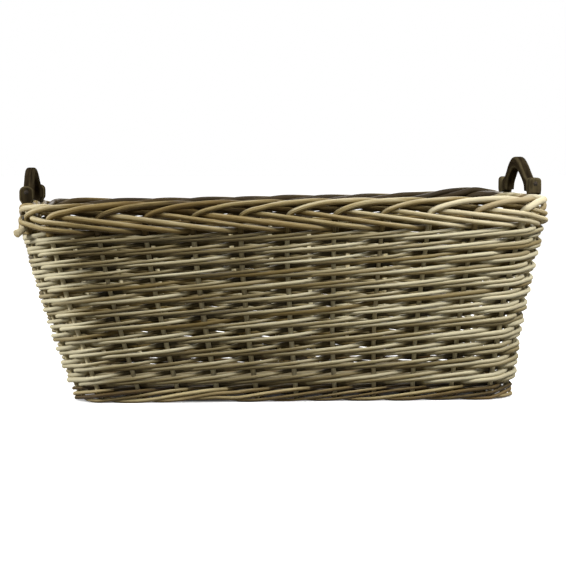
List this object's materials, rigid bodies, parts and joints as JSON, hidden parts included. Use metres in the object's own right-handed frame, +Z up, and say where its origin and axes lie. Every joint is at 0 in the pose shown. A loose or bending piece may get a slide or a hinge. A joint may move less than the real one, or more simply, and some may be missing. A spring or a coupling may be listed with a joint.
{
  "type": "woven basket",
  "caption": "Rectangular woven rod basket, flared from base to plaited border, with a swinging dark wooden bow handle at each end.",
  "frame": {"origin": "middle of the basket's outline at floor level", "axes": "+X along the long walls towards the right-hand handle, +Y from the front wall to the back wall, +Z up"},
  "size_m": [0.6662, 0.3912, 0.3],
  "materials": {
    "stake": "weathered round rod, matt",
    "weaver": "weathered round rod, matt",
    "border": "weathered round rod, matt",
    "foot": "weathered round rod, matt",
    "base": "weathered round rod, matt",
    "handle": "dark stained, satin",
    "pin": "dark metal, satin"
  },
  "bodies": {
    "basket": {"cross_stake_1": "stake", "cross_stake_2": "stake", "cross_stake_3": "stake", "cross_stake_4": "stake", "cross_stake_5": "stake", "cross_stake_6": "stake", "cross_stake_7": "stake", "cross_stake_8": "stake", "cross_stake_9": "stake", "end_stake_right_1": "stake", "end_stake_right_2": "stake", "end_stake_right_3": "stake", "end_stake_right_4": "stake", "end_stake_left_1": "stake", "end_stake_left_2": "stake", "end_stake_left_3": "stake", "end_stake_left_4": "stake", "corner_stake_front_left": "stake", "corner_stake_front_right": "stake", "corner_stake_right_front": "stake", "corner_stake_right_back": "stake", "corner_stake_back_right": "stake", "corner_stake_back_left": "stake", "corner_stake_left_back": "stake", "corner_stake_left_front": "stake", "base_weave_1": "base", "base_weave_2": "base", "base_weave_3": "base", "base_weave_4": "base", "base_weave_5": "base", "base_weave_6": "base", "base_weave_7": "base", "wale_course_01": "weaver", "wale_course_02": "weaver", "wale_course_03": "weaver", "wale_course_04": "weaver", "wale_course_05": "weaver", "wale_course_06": "weaver", "wale_course_07": "weaver", "wale_course_08": "weaver", "wale_course_09": "weaver", "wale_course_10": "weaver", "wale_course_11": "weaver", "wale_course_12": "weaver", "foot_wale": "foot", "rim_border": "border", "handle_left_front_post": "handle", "handle_left_back_post": "handle", "handle_right_front_post": "handle", "handle_right_back_post": "handle", "handle_left_front_pin": "pin", "handle_left_back_pin": "pin", "handle_right_front_pin": "pin", "handle_right_back_pin": "pin"},
    "left_handle": {"handle_left_bow": "handle"},
    "right_handle": {"handle_right_bow": "handle"}
  },
  "joints": [
    {"name": "left_handle_swing", "type": "hinge", "parent": "basket", "child": "left_handle", "pos_m": [-0.31868, 0, 0.25678], "axis": [0, -1, 0], "range_deg": [-115, 115]},
    {"name": "right_handle_swing", "type": "hinge", "parent": "basket", "child": "right_handle", "pos_m": [0.31868, 0, 0.26702], "axis": [0, 1, 0], "range_deg": [-115, 115]}
  ]
}
